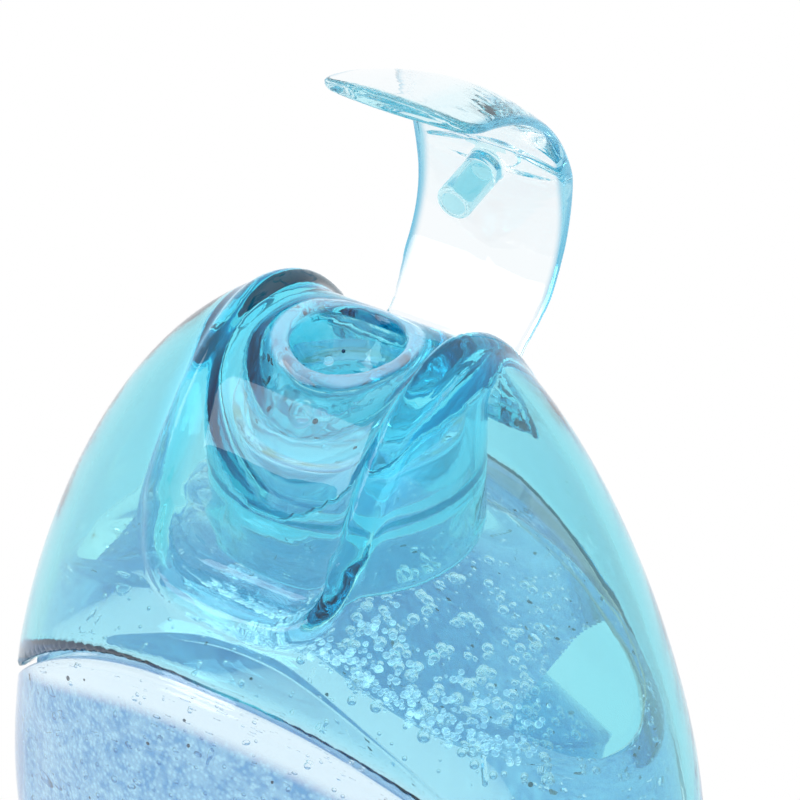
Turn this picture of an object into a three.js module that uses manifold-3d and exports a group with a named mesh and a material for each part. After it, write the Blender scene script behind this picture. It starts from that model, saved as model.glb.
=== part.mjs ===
// Shampoo bottle with a tall clear cap and a flip lid, shown with the lid open.
// Units are millimetres, +Z is up and -Y is the front, where the finger pocket is.
// The origin is the middle of the base, on the surface the bottle stands on.
// Heights with "Z" in the name are above that surface.

import * as THREE from "three";
import { mergeVertices } from "three/addons/utils/BufferGeometryUtils.js";
import Module from "manifold-3d";

const wasm = await Module();
wasm.setup();

// Driving dimensions of the outer shape.
const ORIFICE_Z = 172;
const HALF_WIDTH = 41.5;
const HALF_DEPTH = 28.75;
const WIDEST_Z = ORIFICE_Z - 63.7;
const DEEPEST_Z = ORIFICE_Z - 45.7;
const CROWN_RISE_X = 5.0;
const CROWN_RISE_Y = 3.26;
const BASE_TAPER_X = 6.5;
const BASE_TAPER_Y = 4.0;
const BASE_ROUND = 6;
const SECTION_POWER = 1.905;

// Parting line between cap and bottle, an arch that drops towards the sides.
const PARTING_DROP = 28.1;
const PARTING_FALL = 0.01014;
const PARTING_POWER = 2.153;
const SHUT_GAP = 0.3;
const CAP_PROUD = 0.25;

// Wall thicknesses and clearances.
const CAP_WALL = 1.6;
const BOTTLE_WALL = 1.4;
const SHOULDER_WALL = 1.2;
const CAP_CLEARANCE = 0.45;
const CONTENT_GAP = 0.3;
const FIT_GAP = 0.3;

// Shoulder under the cap, and the neck.
const SHOULDER_TOP_DROP = 23;
const NECK_RADIUS = 11.7;
const NECK_WALL = 1.7;
const NECK_TOP_DROP = 8.5;
const NECK_BEAD = 0.6;
const FILL_DROP = 27.5;
const BASE_FLOOR = 2.4;

// Label recess on the front and back of the bottle.
const LABEL_DEPTH = 0.35;
const LABEL_BELOW_PARTING = 7;
const LABEL_BOTTOM_Z = 24;

// Skirt, seal and nozzle inside the cap.
const SKIRT_RADIUS = 13.9;
const SKIRT_WALL = 1.2;
const SKIRT_BOTTOM_DROP = 22;
const SEAL_WALL = 1.2;
const SEAL_BOTTOM_DROP = 13;
const DISH_RADIUS = 6.0;
const DISH_DEPTH = 5.9;
const DISH_RIM = 0.4;
const LID_OVER_RIM = 0.7;
const BORE_RADIUS = 2.4;
const BORE_LENGTH = 3;
const NOZZLE_WALL = 1.3;

// Channel for the lid and the finger pocket at its front end.
const CHANNEL_HALF_WIDTH = 10;
const CHANNEL_DEPTH = 3.4;
const CHANNEL_WALL = 1.6;
const CHANNEL_FLOOR = 1.5;
const CHANNEL_FRONT_DROP = 12;
const POCKET_HALF_WIDTH = 9.5;
const POCKET_BOTTOM_DROP = 19;
const POCKET_ARCH_DROP = 5.8;
const POCKET_SIDE_DROP = 9.4;
const POCKET_TOP_Y = -15;
const POCKET_LEAN = 0.2;
const POCKET_CORNER = 4.5;
const POCKET_WALL = 1.3;

// Lid with its plug and hinge.
const LID_HALF_WIDTH = 9;
const LID_UNDERSIDE = 2.6;
const LID_TIP_DROP = 14.4;
const LID_TIP_BULGE = 0.9;
const LID_OPEN_ANGLE = 78.8;
const BARREL_RADIUS = 1.7;
const PIN_RADIUS = 0.6;
const PIN_REACH = 10.6;

// Hinge line, behind the neck and sunk below the outer surface over the pins' ends.
const SEAT_GAP = 0.4;
const HINGE_BEHIND_NECK = 0.7;
const HINGE_SINK = 2.4520;
const HINGE_Y = NECK_RADIUS + NECK_BEAD + HINGE_BEHIND_NECK + POCKET_WALL + SEAT_GAP + BARREL_RADIUS;
const HINGE_DROP = ORIFICE_Z - surfaceHeight(PIN_REACH, HINGE_Y) + HINGE_SINK;
const CHANNEL_BELOW_HINGE = 3.25;
const LID_ABOVE_HINGE = 2.55;
const CHANNEL_REAR_DROP = HINGE_DROP + CHANNEL_BELOW_HINGE;
const LID_REAR_DROP = HINGE_DROP - LID_ABOVE_HINGE;
const PLUG_RADIUS = 2.0;
const PLUG_WALL = 0.65;
const PLUG_END_DROP = 6.2;

// How finely curves are stepped.
const RING_POINTS = 60;
const ROUND_POINTS = 40;
const PROFILE_STEPS = 26;

// Height of the front to back outline over the middle, measured from the nozzle.
function crownHeight(y) {
  const share = 1 - Math.pow(Math.min(Math.abs(y) / HALF_DEPTH, 0.9999), 2.643);
  return DEEPEST_Z + (ORIFICE_Z + CROWN_RISE_Y - DEEPEST_Z) * Math.pow(share, 1 / 1.232);
}

// Half width of the bottle, cap included, at a height.
function halfWidth(z) {
  if (z < WIDEST_Z) {
    const low = (WIDEST_Z - z) / WIDEST_Z;
    return HALF_WIDTH - BASE_TAPER_X * low * low;
  }
  const t = (z - WIDEST_Z) / (ORIFICE_Z + CROWN_RISE_X - WIDEST_Z);
  return HALF_WIDTH * Math.pow(Math.max(1 - Math.pow(t, 1.553), 0), 1 / 2.0245);
}

// Half depth of the bottle, cap included, at a height.
function halfDepth(z) {
  if (z < DEEPEST_Z) {
    const low = (DEEPEST_Z - z) / DEEPEST_Z;
    return HALF_DEPTH - BASE_TAPER_Y * low * low;
  }
  const t = (z - DEEPEST_Z) / (ORIFICE_Z + CROWN_RISE_Y - DEEPEST_Z);
  return HALF_DEPTH * Math.pow(Math.max(1 - Math.pow(t, 1.232), 0), 1 / 2.643);
}

// Profile moved inwards by a distance, as a function of height.
function insetProfile(profile, topZ, inset) {
  const radii = [];
  const heights = [];
  const steps = 400;
  for (let i = 0; i <= steps; i += 1) {
    const z = topZ * Math.sin((Math.PI / 2) * (i / steps));
    const slope = (profile(Math.min(z + 0.01, topZ)) - profile(z - 0.01)) / 0.02;
    const length = Math.hypot(1, slope);
    radii.push(profile(z) - inset / length);
    heights.push(z + (inset * slope) / length);
  }
  return (z) => {
    let i = 1;
    while (i < steps && heights[i] < z) i += 1;
    const share = (z - heights[i - 1]) / Math.max(heights[i] - heights[i - 1], 1e-6);
    return radii[i - 1] + (radii[i] - radii[i - 1]) * Math.min(Math.max(share, 0), 1);
  };
}

// Turns a closed geometry into a solid for joining and cutting.
function toSolid(geometry) {
  const plain = geometry.clone();
  plain.deleteAttribute("normal");
  plain.deleteAttribute("uv");
  const merged = mergeVertices(plain, 1e-4);
  const order = merged.index.array;
  const kept = [];
  for (let i = 0; i < order.length; i += 3) {
    const [a, b, c] = [order[i], order[i + 1], order[i + 2]];
    if (a !== b && b !== c && c !== a) kept.push(a, b, c);
  }
  const mesh = new wasm.Mesh({
    numProp: 3,
    vertProperties: new Float32Array(merged.attributes.position.array),
    triVerts: new Uint32Array(kept),
  });
  return new wasm.Manifold(mesh);
}

// Turns a solid back into a flat shaded geometry.
function toGeometry(solid) {
  const mesh = solid.getMesh();
  const geometry = new THREE.BufferGeometry();
  geometry.setAttribute("position", new THREE.BufferAttribute(new Float32Array(mesh.vertProperties), 3));
  geometry.setIndex(new THREE.BufferAttribute(new Uint32Array(mesh.triVerts), 1));
  geometry.computeVertexNormals();
  return geometry;
}

// Solid through rings of one section shape, closed flat at both ends.
function loft(levels, radiusX, radiusY, power, points) {
  const positions = [];
  const index = [];
  levels.forEach((z) => {
    for (let j = 0; j < points; j += 1) {
      const c = Math.cos((2 * Math.PI * j) / points);
      const s = Math.sin((2 * Math.PI * j) / points);
      positions.push(radiusX(z) * Math.sign(c) * Math.pow(Math.abs(c), 2 / power));
      positions.push(radiusY(z) * Math.sign(s) * Math.pow(Math.abs(s), 2 / power));
      positions.push(z);
    }
  });
  for (let i = 0; i + 1 < levels.length; i += 1) {
    for (let j = 0; j < points; j += 1) {
      const a = i * points + j;
      const b = i * points + ((j + 1) % points);
      index.push(a, b, b + points, a, b + points, a + points);
    }
  }
  // The fans that close the ends spread from a point off the axis, so the axis meets the inside of a triangle.
  const last = (levels.length - 1) * points;
  const bottom = positions.length / 3;
  [levels[0], levels[levels.length - 1]].forEach((z) => {
    positions.push(0.03 * radiusX(z), -0.6 * radiusY(z), z);
  });
  for (let j = 0; j < points; j += 1) {
    const next = (j + 1) % points;
    index.push(bottom, next, j, bottom + 1, last + j, last + next);
  }
  const geometry = new THREE.BufferGeometry();
  geometry.setAttribute("position", new THREE.Float32BufferAttribute(positions, 3));
  geometry.setIndex(index);
  return toSolid(geometry);
}

// Heights that crowd together towards the top.
function crowdedLevels(low, high, count) {
  const levels = [];
  for (let i = 0; i <= count; i += 1) {
    levels.push(low + (high - low) * Math.sin((Math.PI / 2) * (i / count)));
  }
  return levels;
}

// Solid turned about the vertical axis from radius and height pairs, closed on itself.
function turned(pairs) {
  const points = pairs.map(([r, z]) => new THREE.Vector2(r, z));
  if (points[0].x > 0) points.push(points[0].clone());
  const geometry = new THREE.LatheGeometry(points, ROUND_POINTS);
  geometry.rotateX(Math.PI / 2);
  const solid = toSolid(geometry);
  if (solid.volume() > 0) return solid;
  const flipped = geometry.clone();
  const order = flipped.index.array;
  for (let i = 0; i < order.length; i += 3) {
    [order[i], order[i + 1]] = [order[i + 1], order[i]];
  }
  return toSolid(flipped);
}

// Side view outline in Y and Z pushed out to both sides of the middle.
function sideExtrusion(outline, reach) {
  const shape = new THREE.Shape(outline.map(([y, z]) => new THREE.Vector2(y, z)));
  const geometry = new THREE.ExtrudeGeometry(shape, { depth: 2 * reach, bevelEnabled: false, curveSegments: 8 });
  geometry.translate(0, 0, -reach);
  geometry.applyMatrix4(new THREE.Matrix4().set(0, 0, 1, 0, 1, 0, 0, 0, 0, 1, 0, 0, 0, 0, 0, 1));
  return toSolid(geometry);
}

// Front view outline in X and Z pushed from one Y to another.
function frontExtrusion(outline, fromY, toY) {
  const shape = new THREE.Shape(outline.map(([x, z]) => new THREE.Vector2(x, z)));
  const geometry = new THREE.ExtrudeGeometry(shape, { depth: toY - fromY, bevelEnabled: false, curveSegments: 8 });
  geometry.rotateX(Math.PI / 2);
  geometry.translate(0, toY, 0);
  return toSolid(geometry);
}

// Round bar along X through the hinge line.
function hingeBar(radius, reach, points) {
  const geometry = new THREE.CylinderGeometry(radius, radius, 2 * reach, points);
  geometry.rotateZ(Math.PI / 2);
  geometry.translate(0, HINGE_Y, ORIFICE_Z - HINGE_DROP);
  return toSolid(geometry);
}

// Half depth of the oval section at a height, at a distance to the side of the middle.
function sectionDepth(z, x) {
  const share = Math.pow(x / halfWidth(z), SECTION_POWER);
  return halfDepth(z) * Math.pow(Math.max(1 - share, 0), 1 / SECTION_POWER);
}

// Height of the outer surface over a point, found by halving.
function surfaceHeight(x, y) {
  let low = DEEPEST_Z;
  let high = ORIFICE_Z + CROWN_RISE_Y;
  for (let i = 0; i < 40; i += 1) {
    const z = (low + high) / 2;
    if (sectionDepth(z, x) > y) low = z;
    else high = z;
  }
  return low;
}

// Height of the parting line at a distance from the middle.
function partingHeight(x) {
  return ORIFICE_Z - PARTING_DROP - PARTING_FALL * Math.pow(Math.abs(x), PARTING_POWER);
}

// Everything above or below the parting line, moved up by a distance.
function partingBlock(above, lift) {
  const outline = [];
  const reach = HALF_WIDTH + 8;
  for (let i = 0; i <= 48; i += 1) {
    const x = -reach + (2 * reach * i) / 48;
    outline.push([x, partingHeight(x) + lift]);
  }
  const end = above ? ORIFICE_Z + 40 : -40;
  outline.push([reach, end], [-reach, end]);
  return frontExtrusion(outline, -HALF_DEPTH - 8, HALF_DEPTH + 8);
}

// Outer surface moved inwards, from a height up to the crown.
function envelope(inset, fromZ, count) {
  const topX = ORIFICE_Z + CROWN_RISE_X;
  const topY = ORIFICE_Z + CROWN_RISE_Y;
  const radiusX = inset > 0 ? insetProfile(halfWidth, topX, inset) : halfWidth;
  const radiusY = inset > 0 ? insetProfile(halfDepth, topY, inset) : halfDepth;
  const levels = crowdedLevels(fromZ, topY - inset - 0.02, count);
  return loft(levels, (z) => Math.max(radiusX(z), 0.3), (z) => Math.max(radiusY(z), 0.3), SECTION_POWER, RING_POINTS);
}

// Heights of the rings that every shape of the bottle body shares above its base edge.
function bodyLevels(fromZ) {
  const levels = [18, 40, 64, 86, 102, 112, 119, 125, 131, 137, 143, 149, 155, 162];
  return levels.filter((z) => z > fromZ + 1);
}

// Part of the full outer shape below the parting line, with a rounded base edge.
function lowerBody(inset, floorZ) {
  const rounding = Math.max(BASE_ROUND - inset, 1);
  const levels = [0, 0.08, 0.25, 0.5, 0.75, 1].map((k) => floorZ + rounding * k);
  levels.push(...bodyLevels(floorZ + rounding));
  const edge = (z) => {
    const low = Math.max(floorZ + rounding - z, 0) / rounding;
    return inset + rounding * (1 - Math.sqrt(Math.max(1 - low * low, 0)));
  };
  return loft(levels, (z) => halfWidth(z) - edge(z), (z) => halfDepth(z) - edge(z), SECTION_POWER, RING_POINTS);
}

// Shoulder that fills the inside of the cap and closes over to the neck.
function shoulder(inset) {
  const clear = CAP_WALL + CAP_CLEARANCE + inset;
  const topZ = ORIFICE_Z - SHOULDER_TOP_DROP - inset;
  const dome = (z) => {
    const t = Math.max((z - WIDEST_Z) / (topZ - WIDEST_Z), 0);
    return Math.pow(Math.max(1 - t * t * t, 0), 0.345);
  };
  const radiusX = (z) => Math.max(Math.min(halfWidth(z) - clear, (HALF_WIDTH - clear) * dome(z)), 1);
  const radiusY = (z) => Math.max(Math.min(halfDepth(z) - clear, (HALF_DEPTH - clear) * dome(z)), 1);
  const levels = crowdedLevels(WIDEST_Z - 12, topZ - 0.05, 14);
  return loft(levels, radiusX, radiusY, SECTION_POWER, RING_POINTS);
}

// Shallow flat field for a label on the front or back of the bottle.
function labelField(side) {
  const outline = [];
  const reach = HALF_WIDTH - 13;
  for (let i = 0; i <= 20; i += 1) {
    const x = -reach + (2 * reach * i) / 20;
    outline.push([x, partingHeight(x) - LABEL_BELOW_PARTING]);
  }
  outline.push([reach - 3, LABEL_BOTTOM_Z], [-reach + 3, LABEL_BOTTOM_Z]);
  const field = side < 0 ? frontExtrusion(outline, -60, -4) : frontExtrusion(outline, 4, 60);
  const depth = CAP_PROUD + LABEL_DEPTH;
  const kept = loft(bodyLevels(0), (z) => halfWidth(z) - depth, (z) => halfDepth(z) - depth, SECTION_POWER, RING_POINTS);
  return field.subtract(kept);
}

// Neck as a turned ring with a snap bead below its rim.
function neckSolid() {
  const top = ORIFICE_Z - NECK_TOP_DROP;
  const foot = ORIFICE_Z - SHOULDER_TOP_DROP - 5;
  const bead = NECK_RADIUS + NECK_BEAD;
  return turned([
    [0, foot], [NECK_RADIUS, foot], [NECK_RADIUS, top - 4.6], [bead, top - 4], [bead, top - 3],
    [NECK_RADIUS, top - 1.6], [NECK_RADIUS, top - 0.5], [NECK_RADIUS - 0.5, top], [0, top],
  ]);
}

// Room that the cap leaves round the neck and over its rim.
function neckRoom() {
  const reach = NECK_RADIUS + NECK_BEAD + FIT_GAP;
  const low = ORIFICE_Z - SHOULDER_TOP_DROP;
  const high = ORIFICE_Z - NECK_TOP_DROP + FIT_GAP;
  return turned([[0, low], [reach, low], [reach, high], [0, high]]);
}

// Bottle below the parting line, its shoulder and neck, hollow and open at the top.
function buildBottle() {
  const below = partingBlock(false, 0);
  let body = lowerBody(CAP_PROUD, 0).intersect(below);
  body = body.subtract(labelField(-1)).subtract(labelField(1));
  body = body.add(shoulder(0)).add(neckSolid());
  const inner = lowerBody(CAP_PROUD + BOTTLE_WALL, BASE_FLOOR);
  const innerBelow = inner.intersect(partingBlock(false, -BOTTLE_WALL));
  body = body.subtract(innerBelow.subtract(labelWallKeep()).add(shoulder(SHOULDER_WALL)));
  const boreRadius = NECK_RADIUS - NECK_WALL;
  const bore = turned([
    [0, ORIFICE_Z - SHOULDER_TOP_DROP - 9], [boreRadius, ORIFICE_Z - SHOULDER_TOP_DROP - 9],
    [boreRadius, ORIFICE_Z], [0, ORIFICE_Z],
  ]);
  return body.subtract(bore);
}

// Extra wall kept behind the label fields so that the wall is not thinned there.
function labelWallKeep() {
  const grow = BOTTLE_WALL;
  return labelField(-1).translate([0, grow, 0]).add(labelField(1).translate([0, -grow, 0]));
}

// Contents of the bottle up to the fill level, clear of the bottle wall.
function buildShampoo() {
  const inset = CAP_PROUD + BOTTLE_WALL + CONTENT_GAP;
  const inner = lowerBody(inset + LABEL_DEPTH, BASE_FLOOR + CONTENT_GAP);
  const lower = inner.intersect(partingBlock(false, -BOTTLE_WALL - CONTENT_GAP));
  const contents = lower.add(shoulder(SHOULDER_WALL + CONTENT_GAP));
  const fill = ORIFICE_Z - FILL_DROP;
  const reach = HALF_WIDTH + 8;
  return contents.intersect(frontExtrusion([[-reach, 0], [reach, 0], [reach, fill], [-reach, fill]], -60, 60));
}

// Front to back outline moved inwards, from the front drop over the top to the rear drop.
function crownOutline(inset, frontDrop, rearDrop) {
  const outline = [];
  const frontY = -halfDepth(ORIFICE_Z - frontDrop);
  const rearY = halfDepth(ORIFICE_Z - rearDrop);
  for (let i = 0; i <= PROFILE_STEPS; i += 1) {
    const y = frontY + ((rearY - frontY) * i) / PROFILE_STEPS;
    const slope = (crownHeight(y + 0.01) - crownHeight(y - 0.01)) / 0.02;
    const length = Math.hypot(1, slope);
    outline.push([y + (slope * inset) / length, crownHeight(y) - inset / length]);
  }
  return outline;
}

// Region over the channel floor, open upwards, to the front and to the back.
function channelRegion(inset, frontDrop, rearDrop, reach) {
  const floor = crownOutline(inset, frontDrop, rearDrop);
  const first = floor[0];
  const last = floor[floor.length - 1];
  const far = HALF_DEPTH + 12;
  const high = ORIFICE_Z + 30;
  const outline = floor.concat([[far, last[1]], [far, high], [-far, high], [-far, first[1]]]);
  return sideExtrusion(outline, reach);
}

// Front view outline of the pocket, arched at the top and rounded at the bottom corners.
function pocketOutline(grow) {
  const half = POCKET_HALF_WIDTH + grow;
  const corner = POCKET_CORNER + grow;
  const bottom = ORIFICE_Z - POCKET_BOTTOM_DROP - grow;
  const outline = [];
  for (let i = 0; i <= 6; i += 1) {
    const a = (Math.PI / 2) * (i / 6);
    outline.push([-half + corner - corner * Math.cos(a), bottom + corner - corner * Math.sin(a)]);
  }
  for (let i = 6; i >= 0; i -= 1) {
    const a = (Math.PI / 2) * (i / 6);
    outline.push([half - corner + corner * Math.cos(a), bottom + corner - corner * Math.sin(a)]);
  }
  const rise = POCKET_SIDE_DROP - POCKET_ARCH_DROP;
  for (let i = 0; i <= 10; i += 1) {
    const x = half - (2 * half * i) / 10;
    outline.push([x, ORIFICE_Z - POCKET_SIDE_DROP + grow + rise * (1 - (x * x) / (half * half))]);
  }
  return outline;
}

// Pocket pushed outwards from a back wall that leans towards the front going down.
function pocketSolid(grow) {
  const straight = frontExtrusion(pocketOutline(grow), -HALF_DEPTH - 8, POCKET_TOP_Y + 4);
  const top = ORIFICE_Z;
  const drop = 40;
  const backY = POCKET_TOP_Y + grow;
  const lean = [
    [backY + POCKET_LEAN * 6, top], [backY - POCKET_LEAN * (drop - 6), top - drop],
    [-HALF_DEPTH - 12, top - drop], [-HALF_DEPTH - 12, top],
  ];
  return straight.intersect(sideExtrusion(lean, HALF_WIDTH));
}

// Skirt that grips the neck, with a snap bead inside.
function skirtSolid() {
  const bottom = ORIFICE_Z - SKIRT_BOTTOM_DROP;
  const top = ORIFICE_Z + CROWN_RISE_Y;
  const inner = SKIRT_RADIUS - SKIRT_WALL;
  const beadZ = ORIFICE_Z - NECK_TOP_DROP - 6;
  return turned([
    [inner, bottom + 0.4], [inner + 0.4, bottom], [SKIRT_RADIUS - 0.4, bottom], [SKIRT_RADIUS, bottom + 0.4],
    [SKIRT_RADIUS, top], [inner, top], [inner, beadZ + 0.9],
    [inner - 0.6, beadZ + 0.3], [inner - 0.6, beadZ - 0.3], [inner, beadZ - 0.9],
  ]);
}

// Bowl shaped seal that plugs into the neck.
function sealSolid() {
  const outer = NECK_RADIUS - NECK_WALL - FIT_GAP - 0.1;
  const bottom = ORIFICE_Z - SEAL_BOTTOM_DROP;
  const top = ORIFICE_Z + CROWN_RISE_Y;
  return turned([
    [outer - SEAL_WALL - 1.2, bottom], [outer - 1.2, bottom], [outer - 0.4, bottom + 1.6], [outer, bottom + 3.4],
    [outer, top], [outer - SEAL_WALL, top], [outer - SEAL_WALL, bottom + 3.4], [outer - SEAL_WALL - 0.4, bottom + 1.6],
  ]);
}

// Radius and height pairs down the funnel of the dish to the end of the bore.
function dishCurve() {
  const pairs = [];
  for (let i = 0; i <= 8; i += 1) {
    const t = i / 8;
    const radius = BORE_RADIUS + (DISH_RADIUS - BORE_RADIUS) * Math.pow(1 - t, 0.62);
    pairs.push([radius, ORIFICE_Z - DISH_DEPTH * t]);
  }
  pairs.push([BORE_RADIUS, ORIFICE_Z - DISH_DEPTH - BORE_LENGTH]);
  return pairs;
}

// Material around the dish and the bore, with a rounded rim on the channel floor.
function nozzleSolid() {
  const outer = dishCurve().map(([r, z]) => [r + NOZZLE_WALL, Math.min(z, ORIFICE_Z - 0.5)]);
  const rim = [
    [DISH_RADIUS + NOZZLE_WALL, ORIFICE_Z - 0.4], [DISH_RADIUS + NOZZLE_WALL - 0.3, ORIFICE_Z + DISH_RIM - 0.3],
    [DISH_RADIUS + 0.6, ORIFICE_Z + DISH_RIM - 0.15], [0, ORIFICE_Z + DISH_RIM - 0.15],
  ];
  const end = ORIFICE_Z - DISH_DEPTH - BORE_LENGTH;
  const underLid = channelRegion(LID_UNDERSIDE + LID_OVER_RIM, 60, 60, SKIRT_RADIUS);
  return turned([[0, end]].concat(outer.reverse(), rim)).subtract(underLid);
}

// Space inside the dish and the bore, open at both ends.
function dishSpace() {
  const pairs = dishCurve();
  const end = ORIFICE_Z - DISH_DEPTH - BORE_LENGTH - 1;
  const wide = [[0, ORIFICE_Z + 6], [DISH_RADIUS + 0.35, ORIFICE_Z + 6], [DISH_RADIUS + 0.35, ORIFICE_Z + 0.3]];
  return turned(wide.concat(pairs, [[BORE_RADIUS, end], [0, end]]));
}

// Cap with walls, channel, pocket, nozzle, skirt and seal in one moulding.
function buildCap() {
  const outer = envelope(0, WIDEST_Z - 14, 20).intersect(partingBlock(true, SHUT_GAP));
  const cavity = envelope(CAP_WALL, WIDEST_Z - 16, 16);
  const frontDrop = CHANNEL_FRONT_DROP + 1;
  const rearDrop = CHANNEL_REAR_DROP + CHANNEL_FLOOR;
  const blockReach = CHANNEL_HALF_WIDTH + CHANNEL_WALL;
  let block = channelRegion(CHANNEL_DEPTH + CHANNEL_FLOOR, frontDrop, rearDrop, blockReach);
  block = block.add(hingeBar(BARREL_RADIUS + SEAT_GAP + POCKET_WALL, blockReach, 24));
  block = block.add(pocketSolid(POCKET_WALL)).intersect(outer).subtract(neckRoom());
  let cap = outer.subtract(cavity).add(block).add(nozzleSolid());
  const underFloor = channelRegion(CHANNEL_DEPTH + CHANNEL_FLOOR * 0.5, 60, 60, CHANNEL_HALF_WIDTH + CHANNEL_WALL * 0.5);
  cap = cap.add(skirtSolid().add(sealSolid()).subtract(underFloor).intersect(outer));
  cap = cap.subtract(channelRegion(CHANNEL_DEPTH, CHANNEL_FRONT_DROP, CHANNEL_REAR_DROP, CHANNEL_HALF_WIDTH)
    .subtract(nozzleSolid()));
  cap = cap.subtract(pocketSolid(0)).subtract(dishSpace());
  cap = cap.subtract(hingeBar(BARREL_RADIUS + SEAT_GAP, CHANNEL_HALF_WIDTH, 32));
  return cap.subtract(hingeBar(PIN_RADIUS + FIT_GAP, PIN_REACH + 0.2, 16));
}

// Hollow plug under the lid, open at its end.
function plugSolid() {
  const end = ORIFICE_Z - PLUG_END_DROP;
  const root = ORIFICE_Z + 1.6;
  const inner = PLUG_RADIUS - PLUG_WALL;
  return turned([
    [0, root - 2.2], [inner, root - 2.2], [inner, end], [PLUG_RADIUS - 0.2, end],
    [PLUG_RADIUS, end + 0.3], [PLUG_RADIUS, root], [0, root],
  ]);
}

// Front view outline of the lid, straight sided with a bulging tip and narrower at the hinge.
function lidOutline() {
  const tip = ORIFICE_Z - LID_TIP_DROP;
  const outline = [];
  const corner = 1.4;
  outline.push([-LID_HALF_WIDTH, ORIFICE_Z + 20], [-LID_HALF_WIDTH, tip + LID_TIP_BULGE + corner]);
  for (let i = 0; i <= 12; i += 1) {
    const x = (LID_HALF_WIDTH - corner * 0.5) * (-1 + i / 6);
    outline.push([x, tip + (LID_TIP_BULGE * x * x) / (LID_HALF_WIDTH * LID_HALF_WIDTH)]);
  }
  outline.push([LID_HALF_WIDTH, tip + LID_TIP_BULGE + corner], [LID_HALF_WIDTH, ORIFICE_Z + 20]);
  return outline;
}

// Closed lid, crowned on top and flat across underneath, with plug, barrel and pins.
function closedLid() {
  const under = crownOutline(LID_UNDERSIDE, LID_TIP_DROP + 1.5, LID_REAR_DROP);
  const over = crownOutline(-0.4, LID_TIP_DROP + 1.5, LID_REAR_DROP).reverse();
  let strip = sideExtrusion(under.concat(over), LID_HALF_WIDTH);
  strip = strip.intersect(envelope(0, WIDEST_Z, 20));
  const rearReach = LID_HALF_WIDTH - 0.9;
  const hingeZ = ORIFICE_Z - HINGE_DROP;
  const frontPart = frontExtrusion(lidOutline(), -60, 8);
  const rearPart = frontExtrusion([
    [-rearReach, hingeZ], [rearReach, hingeZ], [rearReach, hingeZ + 5], [LID_HALF_WIDTH, hingeZ + 9],
    [LID_HALF_WIDTH, ORIFICE_Z + 20], [-LID_HALF_WIDTH, ORIFICE_Z + 20], [-LID_HALF_WIDTH, hingeZ + 9],
    [-rearReach, hingeZ + 5],
  ], 7.9, 60);
  strip = strip.intersect(frontPart.add(rearPart));
  const end = under[under.length - 1];
  const arm = [[HINGE_Y - 1.5, hingeZ + 0.4], [HINGE_Y + 1.6, hingeZ + 0.4], [end[0] + 1.9, end[1] + 0.9],
    [end[0] - 0.6, end[1] + 0.9]];
  strip = strip.add(sideExtrusion(arm, rearReach));
  strip = strip.add(hingeBar(BARREL_RADIUS, CHANNEL_HALF_WIDTH - 0.4, 28)).add(hingeBar(PIN_RADIUS, PIN_REACH, 16));
  return strip.add(plugSolid());
}

// Lid turned open about the hinge line.
function buildLid() {
  const hingeZ = ORIFICE_Z - HINGE_DROP;
  return closedLid().translate([0, -HINGE_Y, -hingeZ]).rotate([-LID_OPEN_ANGLE, 0, 0]).translate([0, HINGE_Y, hingeZ]);
}

// Named mesh with its own material.
function piece(name, solid, colour, roughness) {
  const material = new THREE.MeshStandardMaterial({ color: colour, roughness, metalness: 0 });
  const mesh = new THREE.Mesh(toGeometry(solid), material);
  mesh.name = name;
  return mesh;
}

const bottle = new THREE.Group();
bottle.name = "shampoo_bottle";
bottle.add(piece("bottle", buildBottle(), 0xbfe3ee, 0.12));
bottle.add(piece("shampoo", buildShampoo(), 0x6fb4dc, 0.2));
bottle.add(piece("cap", buildCap(), 0x5cc6dc, 0.12));
bottle.add(piece("lid", buildLid(), 0xaedfeb, 0.12));

export default bottle;
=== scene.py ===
# %% [markdown]
# # Shampoo bottle with an open flip lid
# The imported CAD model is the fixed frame. Every piece below takes its place from it and rides on one of
# its bodies. Lengths in the shape code are millimetres, measured from the middle of the nozzle dish, where
# the cap, the channel and the lid meet. Only the finished points are turned into metres from the base.

# %% Load the frame
import math
import bpy
import numpy as np
import openvdb
from mathutils import Matrix, Vector


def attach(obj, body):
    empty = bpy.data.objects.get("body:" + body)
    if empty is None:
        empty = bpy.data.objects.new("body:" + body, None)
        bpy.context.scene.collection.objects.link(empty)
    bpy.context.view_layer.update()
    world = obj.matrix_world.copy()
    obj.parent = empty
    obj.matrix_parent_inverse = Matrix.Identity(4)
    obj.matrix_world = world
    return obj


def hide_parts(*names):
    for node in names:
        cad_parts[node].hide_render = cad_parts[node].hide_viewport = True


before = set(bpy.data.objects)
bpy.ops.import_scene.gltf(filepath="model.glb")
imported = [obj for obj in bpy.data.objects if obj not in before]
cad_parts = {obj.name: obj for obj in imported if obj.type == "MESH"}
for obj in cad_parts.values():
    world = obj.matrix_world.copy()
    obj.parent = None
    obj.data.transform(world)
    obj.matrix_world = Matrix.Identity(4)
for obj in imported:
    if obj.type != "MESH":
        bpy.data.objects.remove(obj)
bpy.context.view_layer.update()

# %% [markdown]
# ## The oval body
# The body is an oval that narrows to a crown. Two curves give its half width and half depth at each
# height, and one power gives how square the oval is. The cap, the bottle wall and the contents all use
# the same curves, moved inwards, so the layers stay parallel as blown and moulded walls do.

# %% Outline curves
ORIFICE = 172.0        # height of the nozzle dish above the table
SECTION = 1.905        # power of the oval: 2 is an ellipse, more is squarer
HALF_WIDTH, HALF_DEPTH = 41.5, 28.75
WIDEST, DEEPEST = -63.7, -45.7     # heights where the oval is widest and deepest
CROWN_TOP = 48.96      # height of the crown over the deepest place
# the cap ends at the parting line: its height in the middle, and how it falls to the sides
PARTING, PARTING_FALL, PARTING_POWER = -28.1, 0.01014, 2.153
HINGE_Y, HINGE_Z = 16.4, -12.35     # the line the lid turns about


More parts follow.
